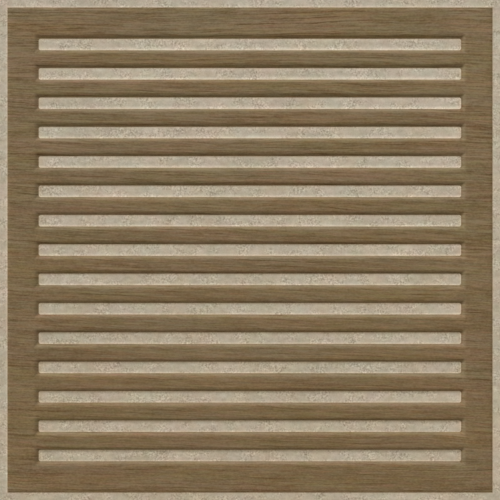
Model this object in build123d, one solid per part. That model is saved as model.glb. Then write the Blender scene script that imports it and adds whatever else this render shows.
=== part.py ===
"""Wood-look ceramic floor tile, dry-pressed and fired in one piece.

A square tile with a raised panel on its face, printed as a wooden duckboard. A soft step leads down
from the panel to the narrow stone-look border around it, and long slots are pressed deeper into the
panel. Every wall of the relief slopes, so that the tile leaves the press die, and is rounded at its
rim and at its foot. The edges are ground square after firing, with a small bevel on the face side.
The back has a grid of shallow pockets between ribs, which keys into the adhesive bed.

Frame: millimetres, +Z up through the face, origin at the middle of the back, slots along X.
"""

import math
import os

from build123d import *

# Overall sizes of the tile
tile_side = 450.0
tile_thickness = 10.0
edge_bevel = 0.3

# Step from the border up to the panel
panel_rise = 0.9
step_slope = 18.0  # degrees above the horizontal
step_rim_radius = 5.5
step_foot_radius = 9.0

# Slots pressed into the panel
slot_depth = 2.0
wall_slope = 30.0  # degrees above the horizontal
rim_radius = 5.3
foot_radius = 5.0

# Layout of the face: widths on the sharp edges, before they are rounded. The rails above and below
# the slots take what the slots leave, and come as near as they can to the width of the stiles.
border_width = 6.4
stile_width = 22.7
slot_width = 15.5
slat_width = 10.98

# Grid of pockets on the back, with walls that lean out towards the mouth of each pocket
pocket_side = 40.0
rib_width = 6.0
pocket_depth = 0.7
pocket_draft = 30.0  # degrees off the vertical
least_back_margin = 10.0

# How far off a line an edge may be and still count as lying on it
slack = 0.01

# Sizes that follow
border_level = tile_thickness - panel_rise
step_run = panel_rise / math.tan(math.radians(step_slope))
panel_foot_side = tile_side - 2 * border_width
panel_rim_side = panel_foot_side - 2 * step_run
slot_length = panel_rim_side - 2 * stile_width
slot_pitch = slot_width + slat_width
slot_count = round((panel_rim_side - 2 * stile_width + slat_width) / slot_pitch)
slots_width = slot_count * slot_pitch - slat_width
pocket_pitch = pocket_side + rib_width
pocket_count = int((tile_side - 2 * least_back_margin + rib_width) // pocket_pitch)


def edges_at(shape, level, length, width):
    """The edges that lie flat at one height, within a length and a width about the middle."""
    edges = shape.edges().filter_by_position(Axis.Z, level - slack, level + slack)
    edges = edges.filter_by_position(Axis.X, -length / 2 - slack, length / 2 + slack)
    return edges.filter_by_position(Axis.Y, -width / 2 - slack, width / 2 + slack)


def sloping_block(outline, height, slope):
    """A block with walls that slope inwards as they rise."""
    return extrude(outline, amount=height, taper=90.0 - slope)


def bordered_slab():
    """The tile before its slots and its back: a bevelled slab that carries the raised panel."""
    slab = extrude(Rectangle(tile_side, tile_side), amount=border_level)
    slab = chamfer(edges_at(slab, border_level, tile_side, tile_side), edge_bevel)
    panel = sloping_block(Rectangle(panel_foot_side, panel_foot_side), panel_rise, step_slope)
    slab += Pos(0, 0, border_level) * panel
    slab = fillet(edges_at(slab, border_level, panel_foot_side, panel_foot_side), step_foot_radius)
    return fillet(edges_at(slab, tile_thickness, panel_rim_side, panel_rim_side), step_rim_radius)


def slot_cutter():
    """What one slot takes out of the panel: a block upside down, with the slot's rounded foot."""
    block = sloping_block(Rectangle(slot_length, slot_width), slot_depth, wall_slope)
    block = fillet(edges_at(block, slot_depth, slot_length, slot_width), foot_radius)
    return Pos(0, 0, tile_thickness) * Rot(180, 0, 0) * block


def back_pockets():
    """What the pockets between the ribs take out of the back."""
    pocket = extrude(Rectangle(pocket_side, pocket_side), amount=pocket_depth, taper=pocket_draft)
    return GridLocations(pocket_pitch, pocket_pitch, pocket_count, pocket_count) * pocket


def make_tile():
    """The whole tile as one solid."""
    tile = bordered_slab() - GridLocations(0, slot_pitch, 1, slot_count) * slot_cutter()
    tile = fillet(edges_at(tile, tile_thickness, slot_length, slots_width), rim_radius)
    return tile - back_pockets()


os.makedirs("parts", exist_ok=True)
tile = make_tile()
export_step(tile, "parts/tile.step")
print("slots", slot_count, "of", round(slot_length, 1), "mm, pockets", pocket_count, "squared")
print("volume", round(tile.volume), "mm3, solids", len(tile.solids()), "faces", len(tile.faces()))
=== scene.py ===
"""The looks of a wood-look ceramic floor tile: pressed face, glazed print, ground edges and ribbed back."""

import math

import bmesh
import bpy
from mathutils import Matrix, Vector, noise


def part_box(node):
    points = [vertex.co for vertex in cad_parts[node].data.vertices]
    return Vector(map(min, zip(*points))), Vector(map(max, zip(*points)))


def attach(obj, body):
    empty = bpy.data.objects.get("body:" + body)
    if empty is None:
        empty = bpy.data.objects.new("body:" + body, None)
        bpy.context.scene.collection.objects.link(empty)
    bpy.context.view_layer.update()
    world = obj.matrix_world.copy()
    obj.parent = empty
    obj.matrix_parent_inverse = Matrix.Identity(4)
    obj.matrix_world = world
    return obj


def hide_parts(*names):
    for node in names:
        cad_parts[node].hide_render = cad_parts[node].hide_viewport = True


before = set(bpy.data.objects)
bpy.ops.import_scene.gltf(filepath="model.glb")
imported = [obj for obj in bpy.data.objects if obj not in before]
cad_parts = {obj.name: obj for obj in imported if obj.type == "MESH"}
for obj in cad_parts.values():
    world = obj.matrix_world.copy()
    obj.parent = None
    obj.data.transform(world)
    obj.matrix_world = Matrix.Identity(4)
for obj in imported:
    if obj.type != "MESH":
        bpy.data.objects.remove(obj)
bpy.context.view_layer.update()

# The pressed face. Clay powder is pressed in a steel die that leaves a raised panel with long slots
# in it, and a border one soft step lower. The die also carries a brushed wood grain and, on the low
# parts, a fine grit.
mm = 0.001
tile_low, tile_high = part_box("tile")
half_side = tile_high.x
panel_level = tile_high.z
edge_bevel = 0.3 * mm


class Wall:
    """A sloping wall with a rounded rim and foot, as it drops below the panel over its way in plan."""

    def __init__(self, depth, slope, rim_radius, foot_radius):
        self.depth = depth
        self.slope = math.radians(slope)
        self.rim_radius = rim_radius
        self.foot_radius = foot_radius
        self.rim_run = rim_radius * math.sin(self.slope)
        self.foot_run = foot_radius * math.sin(self.slope)
        self.rim_drop = rim_radius * (1 - math.cos(self.slope))
        foot_rise = foot_radius * (1 - math.cos(self.slope))
        straight_run = (depth - self.rim_drop - foot_rise) / math.tan(self.slope)
        self.width = self.rim_run + straight_run + self.foot_run
        self.run = depth / math.tan(self.slope)
        self.rim_reach = rim_radius * math.tan(self.slope / 2)

    def drop(self, way_in):
        """How far the surface lies below the panel, at a way in plan from where the rim starts."""
        way_left = self.width - way_in
        if way_in <= 0:
            return 0.0
        if way_in < self.rim_run:
            return self.rim_radius - math.sqrt(self.rim_radius**2 - way_in**2)
        if way_left > self.foot_run:
            return self.rim_drop + (way_in - self.rim_run) * math.tan(self.slope)
        if way_left > 0:
            return self.depth - self.foot_radius + math.sqrt(self.foot_radius**2 - way_left**2)
        return self.depth


panel_step = Wall(0.9 * mm, 18.0, 5.5 * mm, 9.0 * mm)
slot_wall = Wall(2.0 * mm, 30.0, 5.3 * mm, 5.0 * mm)
border_level = panel_level - panel_step.depth
border_width = 6.4 * mm
stile_width = 22.7 * mm
slot_width = 15.5 * mm
slat_width = 10.98 * mm
crease_width = 1.2 * mm
slot_pitch = slot_width + slat_width
slots_each_side = 7

# Where the rims start to round over, in plan
panel_half = half_side - border_width - panel_step.run - panel_step.rim_reach
slot_half_length = half_side - border_width - panel_step.run - stile_width + slot_wall.rim_reach
slot_half_width = slot_width / 2 + slot_wall.rim_reach


def way_into_slot(x, y):
    """Way in plan from the rim of the nearest slot to a point in it, and below nought outside it."""
    slot = max(-slots_each_side, min(slots_each_side, round(y / slot_pitch)))
    from_end = slot_half_length - abs(x)
    from_side = slot_half_width - abs(y - slot * slot_pitch)
    into_crease = max(crease_width - abs(from_end - from_side), 0.0)
    return min(from_end, from_side) - into_crease**2 / (4 * crease_width)


def way_into_border(x, y):
    """Way in plan from the panel's rim to a point outside it, and below nought on the panel."""
    return max(abs(x), abs(y)) - panel_half


def streak(x, y, length, width, layer):
    """Smooth noise from -1 to 1, drawn out to about the given length and width."""
    return noise.noise(Vector((x / length, y / width, layer)))


def drop_of_grain(x, y):
    """How far the grain has dropped at a place: it leans down to the right, most of all on the stiles."""
    lean = 0.03 - 0.05 * y - 0.8 * y * y
    return lean * x + 0.2 * x * x * x


def grain_at(x, y):
    """Growth lines of the wood, from about -1 in the soft early wood to 1 in the hard late wood."""
    wide_bend = 3.5 * mm * streak(x, y, 150 * mm, 60 * mm, 1.5)
    small_bend = 0.9 * mm * streak(x, y, 45 * mm, 15 * mm, 7.5)
    bent = y + drop_of_grain(x, y) + wide_bend + small_bend
    broad = streak(x, bent, 260 * mm, 7.0 * mm, 21.5)
    fine = streak(x, bent, 120 * mm, 2.6 * mm, 43.5)
    return 0.5 * broad + 0.8 * fine


def extend(lines, end, spacing):
    """Adds even grid lines up to the end, no further apart than the spacing."""
    start = lines[-1]
    count = math.ceil((end - start) / spacing)
    lines += [start + (end - start) * (line + 1) / count for line in range(count)]


# The lines of a grid that is close on the walls, and longer along the grain than across it
wall_spacing = 0.75 * mm
spacing_across = 0.8 * mm
spacing_along = 4.4 * mm
border_spacing = 1.6 * mm
half_columns = [0.0]
extend(half_columns, slot_half_length - slot_wall.width, spacing_along)
extend(half_columns, slot_half_length, wall_spacing)
extend(half_columns, panel_half, spacing_along)
half_rows = [0.0]
for slot in range(slots_each_side + 1):
    slot_middle = slot * slot_pitch
    if slot:
        extend(half_rows, slot_middle - slot_half_width, spacing_across)
        extend(half_rows, slot_middle - slot_half_width + slot_wall.width, wall_spacing)
    extend(half_rows, slot_middle + slot_half_width - slot_wall.width, spacing_across)
    extend(half_rows, slot_middle + slot_half_width, wall_spacing)
extend(half_rows, panel_half, spacing_across)
for half_lines in (half_columns, half_rows):
    extend(half_lines, panel_half + panel_step.width, wall_spacing)
    extend(half_lines, half_side - edge_bevel, border_spacing)
    extend(half_lines, half_side, edge_bevel)
columns = [-x for x in reversed(half_columns[1:])] + half_columns
rows = [-y for y in reversed(half_rows[1:])] + half_rows

# The grid is pressed into the relief, with its outer ring as a sharp bevel, and the grain is kept
# for the print
grain_depth = 0.05 * mm
grit_depth = 0.05 * mm
grit_size = 2.2 * mm
glaze_slot, body_slot = 0, 1
shape = bmesh.new()
bmesh.ops.create_grid(shape, x_segments=len(columns) - 1, y_segments=len(rows) - 1, size=1.0)
grain_layer = shape.verts.layers.float.new("grain")
for vertex in shape.verts:
    x = columns[round((vertex.co.x + 1) / 2 * (len(columns) - 1))]
    y = rows[round((vertex.co.y + 1) / 2 * (len(rows) - 1))]
    into_slot = way_into_slot(x, y)
    into_border = way_into_border(x, y)
    low_share = min(max(into_slot / slot_wall.width, into_border / panel_step.width, 0.0), 1.0)
    grain = grain_at(x, y)
    grit = streak(x, y, grit_size, grit_size, 61.5)
    texture = (1 - low_share) * grain_depth * (1 + grain) / 2 + low_share * grit_depth * (1 + grit) / 2
    level = panel_level - max(slot_wall.drop(into_slot), panel_step.drop(into_border)) - texture
    if max(abs(x), abs(y)) > half_side - edge_bevel / 2:
        level = border_level - edge_bevel
    vertex.co = (x, y, level)
    vertex[grain_layer] = grain
for face in shape.faces:
    middle = face.calc_center_median()
    on_bevel = max(abs(middle.x), abs(middle.y)) > half_side - edge_bevel
    face.material_index = body_slot if on_bevel else glaze_slot
    face.smooth = not on_bevel
for edge in shape.edges:
    edge.smooth = all(face.smooth for face in edge.link_faces)

# The ground edges and the back. The fired tile is ground square on all four sides. Its back keeps the
# shape of the lower punch: a grid of shallow pockets with leaning walls, and ribs between them that
# stand on the adhesive bed.
pocket_side = 40.0 * mm
rib_width = 6.0 * mm
pocket_depth = 0.7 * mm
pocket_draft = math.radians(30.0)
pockets_each_side = 4
rim_edges = [edge for edge in shape.edges if edge.is_boundary]
sides = bmesh.ops.extrude_edge_only(shape, edges=rim_edges)["geom"]
for vertex in [part for part in sides if isinstance(part, bmesh.types.BMVert)]:
    vertex.co.z = tile_low.z
for face in [part for part in sides if isinstance(part, bmesh.types.BMFace)]:
    face.material_index = body_slot
    face.smooth = False
outer_edges = [edge for edge in shape.edges if edge.is_boundary]
back = bmesh.ops.contextual_create(shape, geom=outer_edges)["faces"]
bmesh.ops.recalc_face_normals(shape, faces=shape.faces)

# The back is cut along the sides of the pockets, and each pocket is pushed in
pocket_pitch = pocket_side + rib_width
least_length = 0.001 * mm
cells = back + list(back[0].edges) + list(back[0].verts)
for pocket in range(-pockets_each_side, pockets_each_side + 1):
    for wall_side in (-1, 1):
        line = pocket * pocket_pitch + wall_side * pocket_side / 2
        on_line = (line, line, tile_low.z)
        for way in ((1, 0, 0), (0, 1, 0)):
            cut = bmesh.ops.bisect_plane(
                shape, geom=cells, dist=least_length, plane_co=on_line, plane_no=way
            )
            cells = cut["geom"]


def off_pocket(spot):
    """How far a spot along a row of pockets lies from the middle of the nearest one."""
    pocket = max(-pockets_each_side, min(pockets_each_side, round(spot / pocket_pitch)))
    return abs(spot - pocket * pocket_pitch)


pockets = []
for face in [part for part in cells if isinstance(part, bmesh.types.BMFace)]:
    middle = face.calc_center_median()
    if max(off_pocket(middle.x), off_pocket(middle.y)) < pocket_side / 2:
        pockets.append(face)
wall_lean = pocket_depth * math.tan(pocket_draft)
bmesh.ops.inset_individual(
    shape, faces=pockets, thickness=wall_lean, depth=-pocket_depth, use_even_offset=True
)
top_of_back = 1.5 * pocket_depth
for face in shape.faces:
    if face.calc_center_median().z < top_of_back:
        face.material_index = body_slot

# One flat map of the whole tile: the face large, with the back and the four sides beside it
baked = shape.loops.layers.uv.new("OFBake")
map_gap = 0.004
face_width = 0.66
back_height = 0.5
side_pitch = 0.05
side_height = 0.04
beside_face = face_width + map_gap
beside_width = 1 - face_width - 2 * map_gap
for face in shape.faces:
    normal = face.normal
    on_left_or_right = abs(normal.x) > abs(normal.y)
    side = (2 if on_left_or_right else 0) + (1 if normal.x + normal.y > 0 else 0)
    on_back = normal.z < -math.sin(pocket_draft) / 2
    for loop in face.loops:
        x, y, z = loop.vert.co
        from_left = (x + half_side) / (2 * half_side)
        from_near = (y + half_side) / (2 * half_side)
        if face.material_index == glaze_slot:
            u = map_gap + from_left * (face_width - 2 * map_gap)
            v = map_gap + from_near * (1 - 2 * map_gap)
        elif on_back:
            u = beside_face + from_left * beside_width
            v = map_gap + from_near * (back_height - 2 * map_gap)
        else:
            u = beside_face + (from_near if on_left_or_right else from_left) * beside_width
            v = back_height + map_gap + side * side_pitch + z / panel_level * side_height
        loop[baked].uv = (u, v)
mesh = bpy.data.meshes.new("tile_dressed")
shape.to_mesh(mesh)
shape.free()
tile = bpy.data.objects.new("tile_dressed", mesh)
bpy.context.scene.collection.objects.link(tile)
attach(tile, "root")
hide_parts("tile")


# The glazed print. A matt glaze is sprayed on the pressed face, printed by ink jet and fired. The print
# is an oak board on the panel, and sandstone on the border and along the slots.
class Socket:
    """An output socket of a material's nodes. Arithmetic on it adds Math nodes to its tree."""

    def __init__(self, tree, output=None):
        self.tree = tree
        self.output = output

    def node(self, kind, settings, inputs, output=0):
        """Adds a node, with its settings first and then the values or links of its sockets."""
        made = self.tree.nodes.new(kind)
        for name, value in settings.items():
            setattr(made, name, value)
        for name, value in inputs.items():
            if isinstance(value, Socket):
                self.tree.links.new(value.output, made.inputs[name])
            else:
                made.inputs[name].default_value = value
        return Socket(self.tree, made.outputs[output])

    def maths(self, operation, first, second=0.0):
        return self.node("ShaderNodeMath", {"operation": operation}, {0: first, 1: second})

    def __add__(self, other):
        return self.maths("ADD", self, other)

    def __radd__(self, other):
        return self.maths("ADD", other, self)

    def __sub__(self, other):
        return self.maths("SUBTRACT", self, other)

    def __rsub__(self, other):
        return self.maths("SUBTRACT", other, self)

    def __mul__(self, other):
        return self.maths("MULTIPLY", self, other)

    def __rmul__(self, other):
        return self.maths("MULTIPLY", other, self)

    def __truediv__(self, other):
        return self.maths("DIVIDE", self, other)

    def __rtruediv__(self, other):
        return self.maths("DIVIDE", other, self)

    def __abs__(self):
        return self.maths("ABSOLUTE", self)

    def at_least(self, other):
        return self.maths("MAXIMUM", self, other)

    def at_most(self, other):
        return self.maths("MINIMUM", self, other)

    def rises(self, start, end):
        """From 0 at the start to 1 at the end, smoothly."""
        limits = {"Value": self, "From Min": start, "From Max": end}
        return self.node("ShaderNodeMapRange", {"interpolation_type": "SMOOTHSTEP"}, limits)

    def mix(self, low, high):
        """The low colour where this is 0, and the high one where it is 1."""
        colours = {"Factor": self, 6: low, 7: high}
        return self.node("ShaderNodeMix", {"data_type": "RGBA"}, colours, 2)

    def times(self, colour):
        """This colour times another, channel by channel."""
        return self.node("ShaderNodeVectorMath", {"operation": "MULTIPLY"}, {0: self, 1: colour})


def ink(red, green, blue):
    """A colour given as it looks on a screen, from 0 to 255, as the light that it reflects."""
    shares = [level / 255 for level in (red, green, blue)]
    light = [s / 12.92 if s <= 0.04045 else ((s + 0.055) / 1.055) ** 2.4 for s in shares]
    return (*light, 1.0)


def new_finish(name):
    """A new material on the tile, as the start of its nodes and its bare shader."""
    material = bpy.data.materials.new(name)
    material.use_nodes = True
    mesh.materials.append(material)
    return Socket(material.node_tree), material.node_tree.nodes["Principled BSDF"]


def feed(shader, **inputs):
    """Links the sockets that vary over the surface to the shader."""
    for name, value in inputs.items():
        shader.id_data.links.new(value.output, shader.inputs[name.replace("_", " ")])


glaze, glaze_shader = new_finish("glazed_print")
place = glaze.node("ShaderNodeTexCoord", {}, {}, "Object")
along = glaze.node("ShaderNodeSeparateXYZ", {}, {"Vector": place}, "X")
across = glaze.node("ShaderNodeSeparateXYZ", {}, {"Vector": place}, "Y")


def drawn(x, y, length, width, layer, detail=2.0):
    """Noise about nought on the print, of about the given length and width."""
    point = glaze.node("ShaderNodeCombineXYZ", {}, {"X": x / length, "Y": y / width, "Z": layer})
    return glaze.node("ShaderNodeTexNoise", {}, {"Vector": point, "Scale": 1.0, "Detail": detail}) - 0.5


# Where the print is stone: from the panel's foot outwards, and in strips over the floors of the slots,
# which reach a little way up the walls. The strips are a little closer together than the slots.
print_pitch = 26.34 * mm
strip_half_length = 189.5 * mm
strip_half_width = 5.13 * mm
strip_corner = 1.9 * mm
strip_shift = -0.08 * mm
oak_half = 217.62 * mm
ink_spread = 0.3 * mm
ragged_width = 0.25 * mm
ragged_length = 2 * mm
nearest = glaze.maths("ROUND", across / print_pitch)
nearest = nearest.at_least(-slots_each_side).at_most(slots_each_side)
up_strip = across - nearest * print_pitch
past_length = abs(along - strip_shift) - (strip_half_length - strip_corner)
past_width = abs(up_strip) - (strip_half_width - strip_corner)
past_both = {"X": past_length.at_least(0), "Y": past_width.at_least(0)}
past_both = glaze.node("ShaderNodeCombineXYZ", {}, past_both)
past_corner = glaze.node("ShaderNodeVectorMath", {"operation": "LENGTH"}, {0: past_both}, "Value")
past_strip = past_corner + past_length.at_least(past_width).at_most(0) - strip_corner
past_oak = abs(along).at_least(abs(across)) - oak_half
ragged = ragged_width * drawn(along, across, ragged_length, ragged_length, 59.3)
into_stone = (0 - past_strip).at_least(past_oak) + ragged
is_stone = into_stone.rises(-ink_spread, ink_spread)

# Painted light on the stone: it is printed paler along its outline, on the upper side of each strip, which
# the wall above it shades, at the ends of each strip, and on the border close below and to the right of
# the oak, the shaded foot of the panel
outline_width = 1.5 * mm
strip_end_length = 6 * mm
oak_foot_width = 3 * mm
in_strip = 1 - past_strip.rises(0, ink_spread)
# Along this outline the oak is printed darker, a painted shade on the walls, and the stone paler and
# creamier, a painted light
outline_shade_and_light = 1 - abs(into_stone).rises(ink_spread, outline_width)
upper_side_painted_light = in_strip * up_strip.rises(2 * mm, 4.2 * mm)
strip_end_painted_light = in_strip * abs(along).rises(strip_half_length - strip_end_length, strip_half_length)
panel_foot_painted_light = (1 - in_strip) * (along - across).rises(-1 * mm, 1 * mm)
panel_foot_painted_light = panel_foot_painted_light * (1 - past_oak.rises(ink_spread, oak_foot_width))

# Painted light on the oak: it is printed paler on the lit lower wall and on the end walls of each slot
lower_wall_painted_light = (0 - up_strip).rises(3 * mm, 5 * mm)
lower_wall_painted_light = lower_wall_painted_light * (1 - past_strip.rises(1.2 * mm, 3.6 * mm))
lower_wall_painted_light = lower_wall_painted_light * (1 - past_length.rises(0, strip_corner))
past_end = abs(along) - strip_half_length
end_wall_painted_light = past_end.rises(0, 2 * mm) * (1 - past_end.rises(2 * mm, 5 * mm))
end_wall_painted_light = end_wall_painted_light * (1 - (past_width - past_length).rises(-1 * mm, 1 * mm))

# Oak: thin growth lines, fibres of four lengths, broader bands, and drifts of tone and hue. Towards the top
# it is greyer and its figure is stronger, and it is paler, a painted light that falls off towards the
# bottom. Along the stone it is a little darker, a painted shade on the walls of the slots and the step.
oak_dark = ink(91, 69, 36)
oak_pale = ink(132, 112, 79)
olive = (0.94, 1.02, 1.0, 1.0)
reddish = (1.13, 0.96, 1.0, 1.0)
yellower = (1.0, 1.0, 0.88, 1.0)
greyer = (1.0, 1.0, 1.2, 1.0)
wide_bend = 7 * mm * drawn(along, across, 150 * mm, 60 * mm, 3.1)
small_bend = 2 * mm * drawn(along, across, 35 * mm, 12 * mm, 5.7)
bent = across + drop_of_grain(along, across) + wide_bend + small_bend


def growth_lines(spacing, thickness, run, layer, rarity):
    """Thin lines along the grain, about a spacing apart: 1 on a line. They wander, come and go over
    a run, and are fewer the higher the rarity."""
    wander = 1.6 * drawn(along, across, 3 * run, 2.5 * spacing, layer)
    off_line = glaze.maths("PINGPONG", bent / spacing + wander, 0.5) * spacing
    comes = drawn(along, bent, run, spacing, layer + 0.5, 1.0).rises(rarity - 0.1, rarity + 0.1)
    return (1 - off_line.rises(0, thickness)) * comes


broad_lines = growth_lines(4.4 * mm, 0.6 * mm, 80 * mm, 9.1, 0.02)
dark_lines = growth_lines(2.3 * mm, 0.5 * mm, 16 * mm, 13.7, 0.1)
pale_lines = growth_lines(2.5 * mm, 0.5 * mm, 12 * mm, 15.9, 0.06)
fibre = drawn(along, bent, 60 * mm, 1.25 * mm, 11.3, 1.0)
strand = drawn(along, bent, 18 * mm, 1.15 * mm, 12.7, 1.0)
thread = drawn(along, bent, 6 * mm, 1.05 * mm, 17.9, 1.0)
pores = drawn(along, bent, 1.8 * mm, 1.1 * mm, 19.5, 1.0)
band = drawn(along, bent, 36 * mm, 3.6 * mm, 21.7, 1.0)
drift = drawn(along, bent, 90 * mm, 14 * mm, 23.3)
figure = 0.66 * fibre + 0.62 * strand + 0.38 * thread + (0.7 - 0.8 * across) * pores + 0.5 * band
figure = figure - 0.38 * broad_lines - 0.3 * dark_lines + 0.42 * pale_lines
on_stile = abs(along).rises(150 * mm, 210 * mm)
on_rail = abs(across).rises(190 * mm, 200 * mm)
strength = 0.99 + 1.1 * across + 0.2 * on_stile + 0.15 * on_rail
pressed_grain = glaze.node("ShaderNodeAttribute", {"attribute_name": "grain"}, {}, "Fac")
# Paler towards the top: a painted light that falls off towards the bottom
tone = 0.592 + 0.26 * across + strength * figure + 0.35 * drift - 0.03 * pressed_grain
# Painted shade along the stone, and painted light on the lower and end walls of the slots
tone = tone - 0.08 * outline_shade_and_light + 0.16 * end_wall_painted_light + 0.26 * lower_wall_painted_light

red_streaks = drawn(along, bent, 28 * mm, 2.2 * mm, 31.9, 1.0).rises(0.15, 0.27)
red_drift = 1.3 * drawn(along, bent, 110 * mm, 16 * mm, 37.1)
red_spots = 1.3 * drawn(along, bent, 14 * mm, 3.2 * mm, 38.9)
red_share = 0.315 - 0.4 * across + red_drift + red_spots + 0.6 * red_streaks
# On the walls with painted light the oak is also printed less red
red_share = red_share - (0.145 + 0.45 * along) * end_wall_painted_light - 0.12 * lower_wall_painted_light
grey_drift = 1.45 * drawn(along, bent, 120 * mm, 14 * mm, 39.3)
grey_spots = 1.65 * drawn(along, bent, 14 * mm, 3 * mm, 40.1)
# and greyer, with the painted light on the slot walls
grey_share = 0.61 + 0.3 * across + grey_drift + grey_spots + 0.15 * end_wall_painted_light + 0.22 * lower_wall_painted_light
oak = tone.mix(oak_dark, oak_pale)
oak = oak.times(red_share.mix(olive, reddish))
oak = oak.times(grey_share.mix(yellower, greyer))

# Sandstone: patches of speckle on a quieter ground, in a colour that drifts between pinkish and greenish,
# warmer towards the bottom. It is paler towards the top, a painted light that falls off towards the bottom,
# and paler towards the right. Along its outline and at the ends of the strips it is paler and creamy, a
# painted light.
stone_dark = ink(134, 120, 98)
stone_pale = ink(209, 196, 173)
greenish = (0.95, 1.01, 1.0, 1.0)
pinkish = (1.05, 0.99, 1.0, 1.0)
stone_yellower = (1.0, 1.0, 0.95, 1.0)
stone_greyer = (1.0, 1.0, 1.05, 1.0)
plain = (1.0, 1.0, 1.0, 1.0)
cream = (1.02, 0.97, 0.92, 1.0)
busy = drawn(along, across, 14 * mm, 10 * mm, 43.1, 1.0).rises(-0.1, 0.14)
speckle = drawn(along, across, 1.5 * mm, 1.5 * mm, 41.3, 1.0)
mottle = drawn(along, across, 6 * mm, 4 * mm, 45.3, 1.0)
cloud = drawn(along, across, 40 * mm, 18 * mm, 47.7)
specks = drawn(along, across, 2.2 * mm, 2.0 * mm, 49.9, 1.0).rises(0.16, 0.26)
sand = (0.32 + 1.25 * busy) * speckle - 0.2 * busy * specks
# Paler towards the top, a painted light that falls off towards the bottom, and paler towards the right
stone_tone = 0.52 + 0.12 * across + 0.09 * along + sand + 0.4 * mottle + 0.35 * cloud
# Painted light: paler along the outline, on the upper side of each strip, at the panel's shaded foot and at
# the strip ends
stone_tone = stone_tone + 0.085 * outline_shade_and_light + 0.115 * upper_side_painted_light + 0.1 * panel_foot_painted_light + 0.02 * strip_end_painted_light
stone_red_drift = 1.6 * drawn(along, across, 26 * mm, 14 * mm, 53.9, 1.0)
stone_red_spots = drawn(along, across, 5 * mm, 4 * mm, 54.3)
stone_red = 0.45 - 0.55 * across + stone_red_drift + stone_red_spots
stone_grey_drift = 1.8 * drawn(along, across, 20 * mm, 12 * mm, 55.7, 1.0)
stone_grey_spots = drawn(along, across, 5 * mm, 4 * mm, 56.9)
stone_grey = 0.6 + 1.1 * across + stone_grey_drift + stone_grey_spots
stone = stone_tone.mix(stone_dark, stone_pale)
stone = stone.times(stone_red.mix(greenish, pinkish))
stone = stone.times(stone_grey.mix(stone_yellower, stone_greyer))
# Creamier along the outline and at the strip ends: painted light
stone = stone.times((outline_shade_and_light + 0.9 * strip_end_painted_light).mix(plain, cream))

# The glaze over both: matt on the wood, drier on the stone, with the fine relief that the mesh can't carry
roughness = 0.75 + 0.08 * is_stone + 0.2 * thread
wood_relief = 0.6 * (fibre + thread - 0.5 * dark_lines)
fine_height = (1 - is_stone) * wood_relief + is_stone * speckle
fine_relief = {"Strength": 0.25, "Distance": 0.08 * mm, "Height": fine_height}
fine_relief = glaze.node("ShaderNodeBump", {}, fine_relief)
glaze_shader.inputs["Specular IOR Level"].default_value = 0.2
feed(glaze_shader, Base_Color=is_stone.mix(oak, stone), Roughness=roughness, Normal=fine_relief)

# The bare body. Fired stoneware clay, pale and a little speckled, shows where the tile is ground and on
# its back. The ribs keep a whitish wash that stops the tile from sticking to the kiln's rollers.
body_pale = ink(196, 184, 164)
body_dark = ink(172, 159, 138)
wash_white = ink(214, 208, 196)
body, body_shader = new_finish("fired_body")
body_place = body.node("ShaderNodeTexCoord", {}, {}, "Object")
body_height = body.node("ShaderNodeSeparateXYZ", {}, {"Vector": body_place}, "Z")
fleck = body.node("ShaderNodeTexNoise", {}, {"Vector": body_place, "Scale": 900.0, "Detail": 3.0})
patch = body.node("ShaderNodeTexNoise", {}, {"Vector": body_place, "Scale": 30.0, "Detail": 3.0})
clay = (0.7 * fleck + 0.3 * patch).rises(0.35, 0.65).mix(body_dark, body_pale)
washed = 0.8 * (1 - body_height.rises(0.05 * mm, 0.3 * mm)) * patch.rises(0.2, 0.7)
body_relief = body.node("ShaderNodeBump", {}, {"Strength": 0.3, "Distance": 0.1 * mm, "Height": fleck})
body_shader.inputs["Roughness"].default_value = 0.85
feed(body_shader, Base_Color=washed.mix(clay, wash_white), Normal=body_relief)

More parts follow.
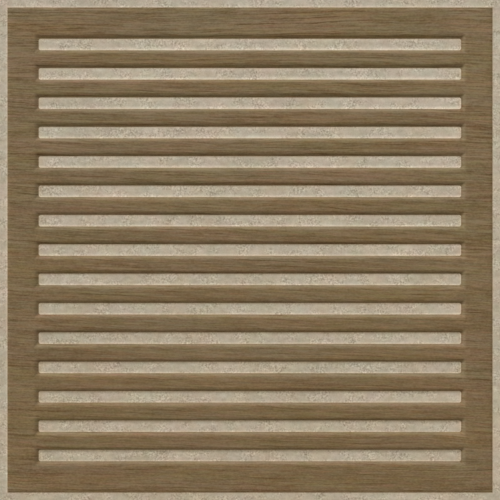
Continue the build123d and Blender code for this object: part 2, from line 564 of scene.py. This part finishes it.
# The floor, the light and the camera. The tile lies on a plain pale floor, seen from straight above. Soft
# daylight comes from the upper left and a warmer fill from all round, and on the level face the two add
# up to plain white.
floor_half = 8.0
floor_gap = 0.02 * mm
floor_shape = bmesh.new()
bmesh.ops.create_grid(floor_shape, x_segments=1, y_segments=1, size=floor_half)
floor_mesh = bpy.data.meshes.new("floor")
floor_shape.to_mesh(floor_mesh)
floor_shape.free()
floor = bpy.data.objects.new("floor", floor_mesh)
floor.location.z = tile_low.z - floor_gap
bpy.context.scene.collection.objects.link(floor)
floor_finish = bpy.data.materials.new("floor_paint")
floor_finish.use_nodes = True
floor_shader = floor_finish.node_tree.nodes["Principled BSDF"]
floor_shader.inputs["Base Color"].default_value = ink(226, 224, 220)
floor_shader.inputs["Roughness"].default_value = 0.9
floor_mesh.materials.append(floor_finish)

sky_level = 0.4
sky_tint = (1.06, 1.0, 0.86)
sky = bpy.data.worlds.new("studio")
sky.use_nodes = True
sky_light = sky.node_tree.nodes["Background"]
sky_light.inputs["Color"].default_value = (*sky_tint, 1.0)
sky_light.inputs["Strength"].default_value = sky_level
bpy.context.scene.world = sky

key_height = math.radians(29.4)
key_turn = math.radians(31.0)
key_spread = math.radians(10.0)
key_level = 1.0 - sky_level
key = bpy.data.objects.new("key", bpy.data.lights.new("key", "SUN"))
key.data.energy = key_level * math.pi / math.sin(key_height)
key.data.angle = key_spread
key.data.color = [(1.0 - sky_level * tint) / key_level for tint in sky_tint]
to_left = math.sin(key_turn) * math.cos(key_height)
to_top = math.cos(key_turn) * math.cos(key_height)
to_key = Vector((-to_left, to_top, math.sin(key_height)))
key.rotation_mode = "QUATERNION"
key.rotation_quaternion = to_key.to_track_quat("Z", "Y")
bpy.context.scene.collection.objects.link(key)

shown_width = 448.6 * mm
camera = bpy.data.objects.new("camera", bpy.data.cameras.new("camera"))
camera.data.lens = 400.0
camera.data.sensor_width = 36.0
camera_distance = shown_width * camera.data.lens / camera.data.sensor_width
camera.location = (0.0, 0.0, border_level + camera_distance)
bpy.context.scene.collection.objects.link(camera)
bpy.context.scene.camera = camera
bpy.context.scene.view_settings.view_transform = "Standard"
